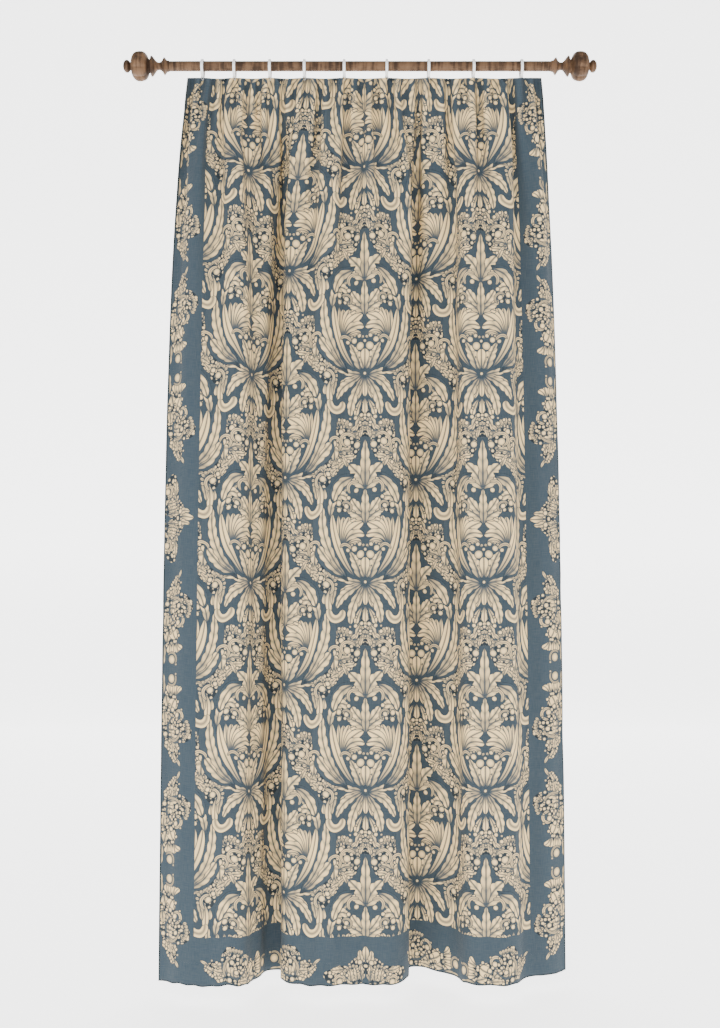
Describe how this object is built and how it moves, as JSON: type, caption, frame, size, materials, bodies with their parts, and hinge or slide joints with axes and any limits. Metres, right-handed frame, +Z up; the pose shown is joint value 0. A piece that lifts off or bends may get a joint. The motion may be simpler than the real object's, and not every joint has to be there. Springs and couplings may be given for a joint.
{
  "type": "damask curtain on a curtain rod",
  "caption": "Damask-patterned curtain panel gathered in soft uneven folds, hung by rings from a turned wooden curtain rod with melon finials.",
  "frame": {"origin": "on the rod's axis, half way along the rod", "axes": "+Z up, +X along the rod to the right as seen from the room, -Y towards the room"},
  "size_m": [1.2126, 0.155, 2.3687],
  "materials": {
    "cloth": "matte woven cloth, cream damask on slate blue",
    "wood": "satin stained wood",
    "ring": "smooth white"
  },
  "bodies": {
    "root": {"curtain_panel": "cloth", "rod": "wood", "finial_left": "wood", "finial_right": "wood", "ring_1": "ring", "ring_2": "ring", "ring_3": "ring", "ring_4": "ring", "ring_5": "ring", "ring_6": "ring", "ring_7": "ring", "ring_8": "ring", "ring_9": "ring"}
  },
  "joints": []
}
